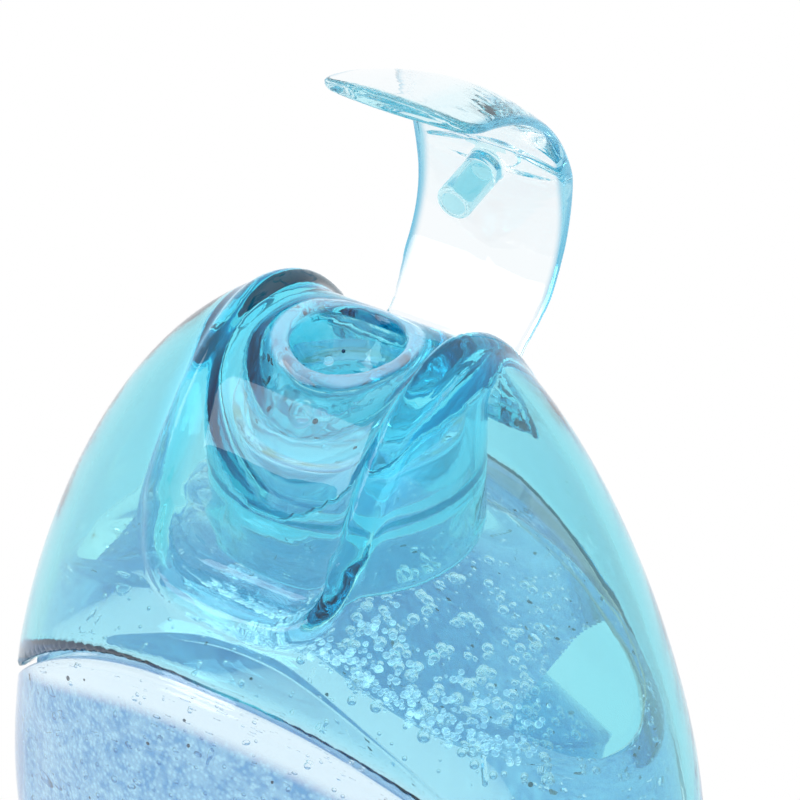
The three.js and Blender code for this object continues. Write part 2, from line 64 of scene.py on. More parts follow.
def half_width(z):
    t = np.clip((z - WIDEST) / 68.7, 0, 0.9995)
    low = np.clip((WIDEST - z) / 108.3, 0, 1)
    return HALF_WIDTH * (1 - t ** 1.553) ** (1 / 2.0245) - 6.5 * low ** 2


def half_depth(z):
    t = np.clip((z - DEEPEST) / CROWN_TOP, 0, 0.9995)
    low = np.clip((DEEPEST - z) / 126.3, 0, 1)
    return HALF_DEPTH * (1 - t ** 1.232) ** (1 / 2.643) - 4.0 * low ** 2


def crown_height(y):
    share = 1 - np.clip(np.abs(y) / HALF_DEPTH, 0, 0.9999) ** 2.643
    return DEEPEST + CROWN_TOP * share ** (1 / 1.232)


def parting_height(x):
    return PARTING - PARTING_FALL * np.abs(x) ** PARTING_POWER


print("half width and depth at the nozzle", float(half_width(0.0)), float(half_depth(0.0)))

# %% [markdown]
# ## Moulded shapes from distance fields
# The cap and the lid are injection moulded, so every inside corner has a soft fillet and every edge a
# small round. Cutting boxes out of a mesh leaves hard corners. A distance field gives, for each point in
# space, how far it is from the surface, and two fields can be joined or cut with a rounded corner. The
# field is then turned into a mesh of small even faces.

# %% Joining fields
def soft_max(a, b, k):
    """The larger of two fields, with a round of about size k where they meet."""
    h = np.clip(0.5 - 0.5 * (b - a) / k, 0, 1)
    return b + (a - b) * h + k * h * (1 - h)


def soft_min(a, b, k):
    return -soft_max(-a, -b, k)


def grid(low, high, step):
    axes = [np.arange(lo, hi + step, step, dtype=np.float32) for lo, hi in zip(low, high)]
    return axes, np.meshgrid(*axes, indexing="ij", sparse=True)


print("two equal fields joined with size 1 give", float(soft_max(0.0, 0.0, 1.0)))

# %% Distances
def outline_distance(points, u, v):
    """Distance from each (u, v) to a bent line through the points."""
    best = np.full(np.broadcast(u, v).shape, 1e9, np.float32)
    for (a, b), (c, d) in zip(points[:-1], points[1:]):
        du, dv = c - a, d - b
        length = du * du + dv * dv + 1e-12
        t = np.clip(((u - a) * du + (v - b) * dv) / length, 0, 1)
        best = np.minimum(best, (u - a - t * du) ** 2 + (v - b - t * dv) ** 2)
    return np.sqrt(best)


def inside_outline(points, u, v):
    """True where (u, v) is inside a closed outline."""
    inside = np.zeros(np.broadcast(u, v).shape, bool)
    for (a, b), (c, d) in zip(points, points[1:] + points[:1]):
        crosses = (b > v) != (d > v)
        inside ^= crosses & (u < (c - a) * (v - b) / (d - b + 1e-12) + a)
    return inside


def turned_distance(pairs, r, z):
    """Signed distance to a turned solid given by its radius and height outline."""
    closed = pairs + pairs[:1]
    inside = inside_outline(pairs, r, z)
    distance = outline_distance(closed, r, z)
    return np.where(inside, -distance, distance)


post = [(0, -1), (1, -1), (1, 1), (0, 1)]
print("2 mm from the axis of a post of radius 1:", float(turned_distance(post, np.array(2.0), np.array(0.0))))

# %% Making a piece
def link_piece(name, points, faces):
    """A smooth piece from points in millimetres from the base and its faces."""
    mesh = bpy.data.meshes.new(name)
    mesh.from_pydata((np.asarray(points) / 1000).tolist(), [], faces)
    mesh.update()
    mesh.shade_smooth()
    piece = bpy.data.objects.new(name, mesh)
    bpy.context.scene.collection.objects.link(piece)
    print(name, "faces", len(mesh.polygons))
    return piece


def field_mesh(name, field, low, step, turn=None):
    """Piece at the zero level of a field."""
    volume = openvdb.FloatGrid()
    volume.copyFromArray(np.ascontiguousarray(np.clip(field, -3, 3), dtype=np.float32))
    points, quads = volume.convertToQuads(isovalue=0.0)
    points = points.astype(np.float64) * step + np.array(low)
    if turn is not None:
        points = turn(points)
    points[:, 2] += ORIFICE
    return link_piece(name, points, quads.tolist())


print("ready to make pieces")

# %% [markdown]
# ## The crown outline
# Seen from the side, the channel floor and the lid both follow the crown of the body from front to back.
# One distance from that outline therefore places the floor, the lid's underside and the plate beneath.

# %% Distance from the crown outline
CROWN_REACH = 28.7
crown_steps = CROWN_REACH * np.sin(np.linspace(-math.pi / 2, math.pi / 2, 140))
crown_line = [(float(y), float(crown_height(y))) for y in crown_steps]
crown_line = [(-CROWN_REACH, -70.0)] + crown_line + [(CROWN_REACH, -70.0)]


def crown_distance(y, z):
    distance = outline_distance(crown_line, y, z)
    inside = (np.abs(y) < CROWN_REACH) & (z < crown_height(y))
    return np.where(inside, -distance, distance)


print("crown outline points", len(crown_line))

# %% [markdown]
# ## The cap
# The cap is one moulding: a domed shell, a walled channel for the lid, a finger pocket with an arched
# top, the dish with its bore, and the seal and skirt that hold the neck. Each is a field, and they are
# joined with fillets of about the wall's thickness.

# %% Cap field
CAP_STEP = 0.53     # size of one cell of the field
cap_low = (-42.6, -27.0, -60.0)
(xs, ys, zs), (X, Y, Z) = grid(cap_low, (42.6, 27.0, 4.6), CAP_STEP)


def envelope_field(x, y, z, step):
    """Distance to the outer surface of the body, from its oval and the slope of the field."""
    a, b = half_width(z), half_depth(z)
    raw = ((np.abs(x) / a) ** SECTION + (np.abs(y) / b) ** SECTION) ** (1 / SECTION) - 1
    slopes = np.gradient(raw, step)
    return (raw / np.sqrt(sum(s * s for s in slopes) + 1e-9)).astype(np.float32)


def pocket_outline_field():
    """Front outline of the finger pocket: rounded lower corners and an arched top."""
    side = np.abs(X) - 9.5
    low = -19.0 - Z
    corner = np.maximum(side + 4.5, 0) ** 2 + np.maximum(low + 4.5, 0) ** 2
    rounded = np.minimum(np.maximum(side + 4.5, low + 4.5), 0) + np.sqrt(corner) - 4.5
    arch = (Z + 5.8 + 3.6 * (X / 9.5) ** 2) * 0.85
    return soft_max(rounded, arch, 1.2)


outer = envelope_field(X, Y, Z, CAP_STEP)
crown = crown_distance(Y[0], Z[0])[None]
radius = np.sqrt(X ** 2 + Y ** 2)
limit = np.where(Y < 0, -12.0 - Z, -15.6 - Z)     # lower end of the channel, front and back
back_wall = Y - (-15.0 + 0.2 * (Z + 6.0))

shell = soft_max(outer, -(outer + 1.6), 0.2)
block = soft_max(soft_max(-(crown + 4.9), np.abs(X) - 11.7, 0.8), limit - 1.5, 0.8)
pocket_shape = pocket_outline_field()
pocket_block = soft_max(pocket_shape - 1.4, back_wall - 1.4, 1.5)
hinge_radius = np.sqrt((Y - HINGE_Y) ** 2 + (Z - HINGE_Z) ** 2)
hinge_block = np.maximum(hinge_radius - 3.4, np.abs(X) - 11.7)
inner_block = soft_min(soft_min(block, pocket_block, 1.2), hinge_block, 1.0)
moulding = soft_min(shell, soft_max(inner_block, outer, 0.2), 1.3)
print("cap field", moulding.shape)

# %% Dish, seal and skirt
dish_line = [(2.4 + 3.6 * (1 - t) ** 0.62, -5.9 * t) for t in np.linspace(0, 1, 14)]
nozzle_line = [(0, -8.9), (3.7, -8.9), (3.7, -6.2)] + [(r + 1.35, z) for r, z in dish_line[::-1][1:-1]]
nozzle_line += [(7.4, -0.2), (7.4, 0.55), (0, 0.55)]
space_line = [(0, -11), (2.4, -11)] + dish_line[::-1] + [(6.4, 0.4), (6.8, 3), (7.0, 8), (0, 8)]
skirt_line = [(12.7, -21.6), (13.1, -22), (13.5, -22), (13.9, -21.6), (13.9, 2), (12.7, 2), (12.7, -13.6),
              (12.1, -14.2), (12.1, -14.8), (12.7, -15.4)]
seal_line = [(7.2, -13), (8.4, -13), (9.2, -11.4), (9.6, -9.6), (9.6, 2), (8.4, 2), (8.4, -9.6), (8.0, -11.4)]
R0 = radius[:, :, 0][:, :, None]
turned_radii = np.arange(0, 52, 0.2, dtype=np.float32)[:, None]


def turned_field(pairs):
    """Field of a turned solid, read from a table of its radius and height."""
    table = turned_distance(pairs, turned_radii, zs[None, :])
    index = np.clip(R0[:, :, 0] / 0.2, 0, len(turned_radii) - 2)
    low = index.astype(int)
    share = (index - low)[:, :, None]
    return table[low] * (1 - share) + table[low + 1] * share


under_floor = crown + 4.0
hanging = soft_min(turned_field(skirt_line), turned_field(seal_line), 0.5)
hanging = soft_max(hanging, under_floor, 0.3)
moulding = soft_min(moulding, hanging, 0.8)
nozzle = soft_max(turned_field(nozzle_line), crown + 3.2, 0.4)
moulding = soft_min(moulding, nozzle, 0.7)
print("field with dish, seal and skirt", moulding.shape)

# %% Channel, pocket and openings
channel = soft_max(soft_max(-(crown + 3.4), np.abs(X) - 10.0, 1.8), limit, 0.8)
channel = soft_max(channel, -(nozzle - 0.05), 0.5)
moulding = soft_max(moulding, -channel, 1.1)
pocket = soft_max(pocket_shape, back_wall, 1.6)
moulding = soft_max(moulding, -pocket, 1.2)
moulding = soft_max(moulding, -turned_field(space_line), 0.5)
seat = np.maximum(hinge_radius - 2.1, np.abs(X) - 10.0)
pins = np.maximum(hinge_radius - 1.1, np.abs(X) - 11.1)
moulding = soft_max(moulding, -np.minimum(seat, pins), 0.2)
slope = PARTING_FALL * PARTING_POWER * np.abs(X) ** (PARTING_POWER - 1)
below = (parting_height(X) + 0.3 - Z) / np.sqrt(1 + slope ** 2)
moulding = soft_max(moulding, below, 0.9)
cap = field_mesh("cap_moulding", moulding, cap_low, CAP_STEP)
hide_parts("cap")
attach(cap, "body")

# %% Gel held in the bowl under the nozzle
bowl_line = [(0, -12.4), (7.3, -12.4), (8.0, -11.3), (8.5, -9.6), (8.5, 3), (0, 3)]
bowl = soft_max(turned_field(bowl_line), crown + 4.8, 0.4)
bowl = soft_max(bowl, -(nozzle + 0.1), 0.2)
pool = turned_field([(0, -10.5), (2.5, -10.5), (2.5, -6.6), (0, -6.6)])
bowl = soft_min(bowl, pool, 0.3)
bowl_gel = field_mesh("bowl_gel", bowl, cap_low, CAP_STEP)
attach(bowl_gel, "body")

# %% [markdown]
# ## The lid
# The lid is drawn closed, where it follows the crown, and then turned open about the hinge line as the
# real one is. Its rim is a little thicker than its web, which is why its edges look darker than its
# middle. The hollow plug under it closes the nozzle.

# %% Lid field
LID_STEP = 0.26
lid_low = (-11.6, -22.0, -16.0)
(lx, ly, lz), (X, Y, Z) = grid(lid_low, (11.6, 21.0, 4.6), LID_STEP)
outer = envelope_field(X, Y, Z, LID_STEP)
crown = crown_distance(Y[0], Z[0])[None]
width = np.where(Y > 8, 9.0 - 0.9 * np.clip((-Z - 3.35) / 4.0, 0, 1), 9.0)
tip = (-13.5 - 0.9 * (1 - (X / 9.0) ** 2) - Z) * np.where(Y < 0, 1.0, -1.0)
tip = np.where(Y < 0, tip, -20.0)
side = np.abs(X) - width
corner = soft_max(side, tip, 2.2)
web = soft_max(outer + 0.1, -(crown + 2.5), 0.5)
strip = soft_max(soft_max(web, corner, 0.6), np.where(Y > 0, -9.8 - Z, -20.0), 0.4)
hollow = soft_max(soft_max(-(crown + 1.9), crown + 3.4, 0.3), corner + 1.7, 0.5)
strip = soft_max(strip, -soft_max(hollow, -(Z + 8.5), 0.6), 0.5)
hinge_radius = np.sqrt((Y - HINGE_Y) ** 2 + (Z - HINGE_Z) ** 2)
barrel = soft_max(hinge_radius - 1.7, np.abs(X) - 9.6, 0.4)
pin = soft_max(hinge_radius - 0.8, np.abs(X) - 10.9, 0.2)
arm_line = [(14.9, -11.95), (18.0, -11.95), (18.5, -9.4), (15.8, -9.4)]
arm = np.where(inside_outline(arm_line, Y, Z), -1, 1) * outline_distance(arm_line + arm_line[:1], Y, Z)
arm = soft_max(arm, np.abs(X) - 8.4, 0.5)
strip = soft_min(soft_min(strip, arm, 0.8), np.minimum(barrel, pin), 0.6)
radius = np.sqrt(X ** 2 + Y ** 2)
plug_line = [(0, -0.6), (1.35, -0.6), (1.35, -6.2), (1.8, -6.2), (2.0, -5.9), (2.0, 1.6), (0, 1.6)]
plug = turned_distance(plug_line, radius[:, :, 0][:, :, None], Z)
strip = soft_min(strip, plug, 0.6)
OPEN = math.radians(78.8)     # how far the lid stands open at rest


def swing_open(points):
    """Turn the closed lid's points about the hinge line to where the lid stands at rest."""
    y, z = points[:, 1] - HINGE_Y, points[:, 2] - HINGE_Z
    points[:, 1] = HINGE_Y + y * math.cos(OPEN) + z * math.sin(OPEN)
    points[:, 2] = HINGE_Z - y * math.sin(OPEN) + z * math.cos(OPEN)
    return points


lid = field_mesh("lid_moulding", strip, lid_low, LID_STEP, swing_open)
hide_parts("lid")
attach(lid, "flip_lid")

# %% [markdown]
# ## The bottle and its contents
# The bottle is blown, so its wall is a skin of even thickness with no sharp corners. Its rings are laid
# one above the other: up the outside to the parting line, in under the cap, over the shoulder and neck,
# and back down the inside. The contents take the inner rings, a hair larger, because a gel wets its wall
# and leaves no film of air.

# %% Ring helpers
RINGS_ROUND = 176


def oval_ring(a, b, z, power=SECTION):
    """Points round an oval of half width a and half depth b."""
    angle = np.arange(RINGS_ROUND) * 2 * math.pi / RINGS_ROUND
    c, s = np.cos(angle), np.sin(angle)
    x = a * np.sign(c) * np.abs(c) ** (2 / power)
    y = b * np.sign(s) * np.abs(s) ** (2 / power)
    return np.stack([x, y, np.broadcast_to(z, x.shape)], 1)


def parting_ring(inset, lift):
    """Heights round the body where its wall, set in by inset, meets the parting line moved by lift."""
    z = np.full(RINGS_ROUND, -40.0)
    for _ in range(60):
        ring = oval_ring(half_width(z) - inset, half_depth(z) - inset, z)
        z = 0.5 * z + 0.5 * (parting_height(ring[:, 0]) + lift)
    return z


def label_hollow(ring):
    """Depth of the label field, which fades out over a small round at its border."""
    x, y, z = ring[:, 0], ring[:, 1], ring[:, 2]
    top = parting_height(x) - 7.0 - z
    low = z + 148.0
    side = 28.5 - np.abs(x)
    edge = np.clip(np.minimum(np.minimum(top, low), side) / 1.6 + 0.5, 0, 1)
    return 0.35 * edge * edge * (3 - 2 * edge)


def shoulder_ring(z, clear, top):
    """Half width and half depth of the shoulder at height z, set in by clear, with its top at top."""
    t = np.clip((z - WIDEST) / (top - WIDEST), 0, 1)
    dome = np.clip(1 - t ** 3, 0, 1) ** 0.345
    a = -soft_max(-(half_width(z) - clear), -(HALF_WIDTH - clear) * dome, 1.2)
    b = -soft_max(-(half_depth(z) - clear), -(HALF_DEPTH - clear) * dome, 1.2)
    return np.maximum(a, 0.5), np.maximum(b, 0.5)


def skin(name, rings):
    """Closed piece from rings laid one above the other, with a fan of faces at each end."""
    count = len(rings)
    points = np.concatenate(rings)
    points[:, 2] += ORIFICE
    faces = []
    n = RINGS_ROUND
    for i in range(count - 1):
        for j in range(n):
            k = (j + 1) % n
            faces.append((i * n + j, i * n + k, (i + 1) * n + k, (i + 1) * n + j))
    points = points.tolist()
    for ring, flip in ((0, True), (count - 1, False)):
        middle = len(points)
        points.append(np.mean(points[ring * n:(ring + 1) * n], axis=0).tolist())
        for j in range(n):
            k = (j + 1) % n
            a, b = ring * n + j, ring * n + k
            faces.append((middle, b, a) if flip else (middle, a, b))
    return link_piece(name, points, faces)


print("points in each ring", RINGS_ROUND)

# %% Outside of the bottle
def lower_rings(inset, floor, rounding, lift, rows):
    """Rings from the rounded foot at height floor up to the parting line moved by lift."""
    rings = []
    for step in np.linspace(0, math.pi / 2, 9)[:-1]:
        z = floor - ORIFICE + rounding * (1 - math.cos(step))
        edge = inset + rounding * (1 - math.sin(step))
        rings.append(oval_ring(half_width(z) - edge, half_depth(z) - edge, z))
    top = parting_ring(inset, lift)
    start = floor - ORIFICE + rounding
    for share in np.linspace(0, 1, rows):
        z = start + (top - start) * share
        ring = oval_ring(half_width(z) - inset, half_depth(z) - inset, z)
        hollow = label_hollow(ring)
        rings.append(oval_ring(half_width(z) - inset - hollow, half_depth(z) - inset - hollow, z))
    return rings, top


def shoulder_rings(clear, top, start, rows):
    """Rings over the shoulder, closer together towards its top."""
    rings = []
    for share in np.sin(np.linspace(0, math.pi / 2, rows)):
        z = start + (top - start) * share
        a, b = shoulder_ring(z, clear, top)
        rings.append(oval_ring(a, b, z))
    return rings


def round_ring(r, z):
    return oval_ring(r, r, z, 2.0)


outside, top_line = lower_rings(0.25, 0.0, 6.0, -0.45, 90)
top_line = top_line + 0.45
step_line = ((0.26, -0.34), (0.30, -0.22), (0.37, -0.12), (0.47, -0.05), (0.6, 0.0), (0.9, 0.02), (1.3, 0.05),
             (1.6, 0.1), (1.8, 0.2), (1.93, 0.34), (2.0, 0.5))
for inset, drop in step_line:
    z = top_line + drop
    outside.append(oval_ring(half_width(z) - inset, half_depth(z) - inset, z))
over = shoulder_rings(2.05, -23.0, top_line + 0.75, 46)
over = [ring for ring in over if np.min(np.hypot(ring[:, 0], ring[:, 1])) > 13.2]
outside += over
neck = [(12.6, -23.3), (12.0, -22.6), (11.7, -21.6), (11.7, -18), (11.7, -13.1), (12.3, -12.5), (12.3, -11.5),
        (11.7, -10.1), (11.7, -9.0), (11.5, -8.6), (11.2, -8.5), (10.5, -8.5), (10.15, -8.6), (10.0, -9.0),
        (10.0, -14), (10.0, -20), (10.3, -23.0), (11.2, -24.6)]
outside += [round_ring(r, z) for r, z in neck]
print("rings outside", len(outside))

# %% Inside of the bottle
inside_low, inner_line = lower_rings(1.65, 2.4, 4.35, -1.4, 90)
inside_top = shoulder_rings(3.25, -24.2, inner_line + 0.4, 46)
inside_top = [ring for ring in inside_top if np.min(np.hypot(ring[:, 0], ring[:, 1])) > 12.0]
rings = outside + inside_top[::-1] + inside_low[::-1]
bottle = skin("bottle_skin", rings)
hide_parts("bottle")
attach(bottle, "body")

# %% Contents
FILL = -26.9
SHOULDER_TOP = -24.1


def fill_height(x):
    """The gel is thick and stands lower on the side where the air space and its foam are."""
    return FILL - 0.18 * ((x - 6) + np.sqrt((x - 6) ** 2 + 16)) + 0.1


wet_low, wet_line = lower_rings(1.55, 2.3, 4.4, -1.35, 80)
fill_line = np.full(RINGS_ROUND, -30.0)
for _ in range(60):
    a, b = shoulder_ring(fill_line, 3.15, SHOULDER_TOP)
    fill_line = 0.5 * fill_line + 0.5 * fill_height(oval_ring(a, b, fill_line)[:, 0])
wet_top = []
for share in np.sin(np.linspace(0, math.pi / 2, 36)):
    z = wet_line + 0.4 + (fill_line - wet_line - 0.4) * share
    a, b = shoulder_ring(z, 3.15, SHOULDER_TOP)
    wet_top.append(oval_ring(a, b, z))
surface = []
for share, drop in ((0.999, -0.03), (0.996, -0.02), (0.99, 0.02), (0.98, 0.08), (0.96, 0.16), (0.93, 0.24),
                    (0.88, 0.32), (0.8, 0.37), (0.6, 0.4), (0.3, 0.4)):
    ring = wet_top[-1] * share
    ring[:, 2] = fill_height(ring[:, 0]) - drop
    surface.append(ring)
gel = skin("blue_shampoo", wet_low + wet_top + surface)
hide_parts("shampoo")
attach(gel, "body")

# %% [markdown]
# ## Bubbles, beads and specks
# The gel carries small air bubbles, larger bubbles near its surface, and a few dark specks. Each kind is
# one mesh of many small balls. The faces of an air bubble look inwards, because its surface is the gel's
# own surface seen from within: light passes from gel to air there.

# %% Ball clouds
chance = np.random.default_rng(24)


def ball(detail):
    """Points and faces of an even ball: twenty triangles, each split in four as often as detail says."""
    g = (1 + 5 ** 0.5) / 2
    points = [(-1, g, 0), (1, g, 0), (-1, -g, 0), (1, -g, 0), (0, -1, g), (0, 1, g), (0, -1, -g), (0, 1, -g),
              (g, 0, -1), (g, 0, 1), (-g, 0, -1), (-g, 0, 1)]
    faces = [(0, 11, 5), (0, 5, 1), (0, 1, 7), (0, 7, 10), (0, 10, 11), (1, 5, 9), (5, 11, 4), (11, 10, 2),
             (10, 7, 6), (7, 1, 8), (3, 9, 4), (3, 4, 2), (3, 2, 6), (3, 6, 8), (3, 8, 9), (4, 9, 5),
             (2, 4, 11), (6, 2, 10), (8, 6, 7), (9, 8, 1)]
    points = [Vector(p).normalized() for p in points]
    for _ in range(detail):
        middles, finer = {}, []
        for a, b, c in faces:
            ends = []
            for i, j in ((a, b), (b, c), (c, a)):
                key = (min(i, j), max(i, j))
                if key not in middles:
                    middles[key] = len(points)
                    points.append(((points[i] + points[j]) / 2).normalized())
                ends.append(middles[key])
            finer += [(a, ends[0], ends[2]), (b, ends[1], ends[0]), (c, ends[2], ends[1]), tuple(ends)]
        faces = finer
    return np.array([tuple(p) for p in points]), np.array(faces)


def ball_cloud(name, centres, radii, detail, inward):
    """One piece of many balls. With inward their faces look inwards, as those of air bubbles do."""
    shape, faces = ball(detail)
    if inward:
        faces = faces[:, ::-1]
    centres, radii = np.array(centres, float), np.array(radii, float)
    points = centres[:, None, :] + shape[None] * radii[:, None, None]
    points[:, :, 2] += ORIFICE
    faces = faces[None] + (np.arange(len(centres)) * len(shape))[:, None, None]
    piece = link_piece(name, points.reshape(-1, 3), faces.reshape(-1, 3).tolist())
    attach(piece, "body")
    return piece


def places_in_gel(count, low, high, near_wall):
    """Points inside the gel, a share of them close to its wall."""
    found = []
    while len(found) < count:
        z = chance.uniform(low, high)
        turn = chance.uniform(0, 2 * math.pi)
        c, s = math.cos(turn), math.sin(turn)
        a, b = shoulder_ring(np.array(z), 3.7, SHOULDER_TOP)
        if z < -60.0:
            a, b = half_width(z) - 2.3, half_depth(z) - 2.3
        if chance.random() < near_wall:
            reach = chance.uniform(0.86, 0.995)
        else:
            reach = math.sqrt(chance.random()) * 0.86
        x = float(a) * reach * math.copysign(abs(c) ** (2 / SECTION), c)
        y = float(b) * reach * math.copysign(abs(s) ** (2 / SECTION), s)
        if z < fill_height(x) - 1.6:
            found.append((x, y, z))
    return found


few = 1.0
print("share of the balls that is made", few)

# %% Bubbles and specks in the gel
spots = places_in_gel(int(1500 * few), -90, -28, 0.75) + places_in_gel(int(500 * few), -167, -90, 0.75)
small = ball_cloud("small_bubbles", spots, chance.uniform(0.1, 0.28, len(spots)), 1, True)
spots = places_in_gel(70, -80, -28, 0.8)
large = ball_cloud("large_bubbles", spots, chance.uniform(0.3, 0.75, len(spots)), 2, True)
spots = places_in_gel(150, -90, -30, 0.9) + places_in_gel(60, -167, -90, 0.9)
specks = ball_cloud("dark_specks", spots, chance.uniform(0.12, 0.27, len(spots)), 1, False)

# %% Foam under the surface and froth along its front edge
foam_spots, foam_radii = [], []
while len(foam_spots) < int(240 * few):
    x = chance.uniform(3, 31)
    y = chance.uniform(-15, 12)
    z = float(fill_height(x)) - chance.uniform(0.8, 3.2)
    a, b = shoulder_ring(np.array(z), 4.4, SHOULDER_TOP)
    if (abs(x) / float(a)) ** SECTION + (abs(y) / float(b)) ** SECTION < 1:
        foam_spots.append((x, y, z))
        foam_radii.append(chance.uniform(0.25, 0.7))
foam = ball_cloud("foam_bubbles", foam_spots, foam_radii, 2, True)
froth_spots, froth_radii = [], []
while len(froth_spots) < int(560 * few):
    x = chance.uniform(-9, 27)
    climb = chance.uniform(0, 1) ** 1.6 * (4.2 if x > 8 else 0.6)
    z = float(fill_height(x)) - 0.5 + climb
    a, b = shoulder_ring(np.array(z), 3.9, SHOULDER_TOP)
    if abs(x) < float(a) * 0.97:
        y = -float(b) * (1 - (abs(x) / float(a)) ** SECTION) ** (1 / SECTION)
        y += (chance.uniform(0, 1) ** 2 * 3.0 if climb < 0.7 else 0.0)
        froth_spots.append((x, y, z))
        froth_radii.append(chance.uniform(0.15, 0.42))
dish_drops, drop_radii = [(2.9, -0.6, -4.6), (-2.9, 0.9, -4.7)], [0.7, 0.5]
froth = ball_cloud("froth", froth_spots + dish_drops, froth_radii + drop_radii, 2, False)

# %% Bubbles and specks in the bowl, clear of the closed lid's plug
bowl_bubbles = ball_cloud("bowl_bubbles", [(-0.6, -6.2, -6.6), (2.2, -6.5, -8.0)], [1.5, 0.5], 3, True)
bowl_spots = [(-7.4, -2.6, -5.4), (-7.5, -1.0, -7.2), (-6.9, -3.6, -7.4), (-5.2, -5.6, -8.6),
              (1.4, -7.0, -6.2), (3.9, 1.5, -3.6), (-2.4, 2.8, -4.4), (4.6, -5.2, -8.4)]
bowl_radii = [0.33, 0.3, 0.4, 0.24, 0.3, 0.32, 0.2, 0.25]
bowl_specks = ball_cloud("bowl_specks", bowl_spots, bowl_radii, 2, False)

# %% [markdown]
# ## Clear tinted plastic
# Most of the colour of clear plastic comes from the light that it takes out along the way, so thick rims
# look deeper than thin walls. The surface is a glass with the index of the plastic, and an absorbing volume
# gives the tint. On top of that the surface has a faint colour of its own, called the film here, and a very
# faint glow, which stands for light scattered inside. Fine ripples in the surface come from the mould.

# %% Node helpers
class Graph:
    """Nodes and links of one material or node group, with the steps that the finishes share."""

    def __init__(self, tree):
        self.nodes, self.links = tree.nodes, tree.links

    def add(self, kind, **settings):
        node = self.nodes.new("ShaderNode" + kind)
        for key, value in settings.items():
            setattr(node, key, value)
        return node

    def feed(self, socket, value):
        """Give a socket another socket's output, a colour or a number."""
        if isinstance(value, bpy.types.NodeSocket):
            self.links.new(value, socket)
        elif isinstance(value, tuple):
            socket.default_value = (*value, 1)
        else:
            socket.default_value = value

    def math(self, operation, a, b=0.0):
        node = self.add("Math", operation=operation)
        self.feed(node.inputs[0], a)
        self.feed(node.inputs[1], b)
        return node.outputs["Value"]

    def product(self, first, *others):
        for other in others:
            first = self.math("MULTIPLY", first, other)
        return first

    def above(self, value, low, high):
        """0 below low, 1 above high and a smooth change between."""
        node = self.add("MapRange", interpolation_type="SMOOTHSTEP")
        self.feed(node.inputs["From Min"], low)
        self.feed(node.inputs["From Max"], high)
        self.feed(node.inputs["Value"], value)
        return node.outputs["Result"]

    def below(self, value, low, high):
        return self.math("SUBTRACT", 1.0, self.above(value, low, high))

    def axes(self, place):
        """Distance to the middle plane, then depth and height, all in metres."""
        parts = self.add("SeparateXYZ")
        self.feed(parts.inputs[0], place)
        return self.math("ABSOLUTE", parts.outputs["X"]), parts.outputs["Y"], parts.outputs["Z"]

    def mix(self, share, a, b):
        """A mix of two colours."""
        node = self.add("Mix", data_type="RGBA")
        self.feed(node.inputs["Factor"], share)
        self.feed(node.inputs[6], a)
        self.feed(node.inputs[7], b)
        return node.outputs[2]

    def group(self, tree, values):
        node = self.add("Group", node_tree=tree)
        for socket, value in values.items():
            self.feed(node.inputs[socket], value)
        return node.outputs[0]


def new_material(name):
    """An empty material. Its faint glow is seen, but isn't used as a lamp."""
    material = bpy.data.materials.new(name)
    material.use_nodes = True
    material.cycles.emission_sampling = "NONE"
    material.node_tree.nodes.clear()
    graph = Graph(material.node_tree)
    return material, graph, graph.add("OutputMaterial")


def new_group(name, inputs, result):
    """An empty node group with named sockets, its inputs, and the place on the piece in metres."""
    tree = bpy.data.node_groups.new(name, "ShaderNodeTree")
    for socket, kind in inputs.items():
        tree.interface.new_socket(socket, in_out="INPUT", socket_type="NodeSocket" + kind)
    tree.interface.new_socket(result[0], in_out="OUTPUT", socket_type="NodeSocket" + result[1])
    graph = Graph(tree)
    source, sink = graph.nodes.new("NodeGroupInput"), graph.nodes.new("NodeGroupOutput")
    return tree, graph, source.outputs, sink.inputs[0], graph.add("TexCoord").outputs["Object"]


print("node helpers ready")

# %% Ripple
def moulded_ripple():
    tree, graph, given, result, place = new_group("moulded_ripple", {"Size": "Float"}, ("Height", "Float"))
    noise = graph.add("TexNoise")
    graph.feed(noise.inputs["Detail"], 2.0)
    graph.feed(noise.inputs["Vector"], place)
    graph.feed(noise.inputs["Scale"], given["Size"])
    graph.feed(result, noise.outputs["Fac"])
    return tree


ripple = moulded_ripple()
print("group", ripple.name)

# %% [markdown]
# ## Colour by place
# Three groups give a colour by the place on the piece. The lid's rims and plug are deeper than its web. The
# ring round the dish and the deck behind it carry a painted sheen, and the ridges beside the channel a faint
# painted glow; both are painted light in the emission colour. The gel is clear behind the cap and clouded by
# its beads below it.

# %% Colour groups
def lid_film():
    colours = {"Web": "Color", "Rim": "Color", "Plug": "Color"}
    tree, graph, given, result, place = new_group("rim_film", colours, ("Color", "Color"))
    side, y, z = graph.axes(place)
    rim = graph.above(side, 0.0078, 0.0087)     # the lid is 18 mm wide and its rims are about 1 mm
    with_rim = graph.mix(rim, given["Web"], given["Rim"])
    # where the plug stands while the lid is open
    plug = graph.product(graph.math("LESS_THAN", side, 0.0024), graph.math("LESS_THAN", y, 0.0256),
                         graph.math("LESS_THAN", z, 0.181), graph.math("GREATER_THAN", z, 0.173))
    graph.feed(result, graph.mix(plug, with_rim, given["Plug"]))
    return tree


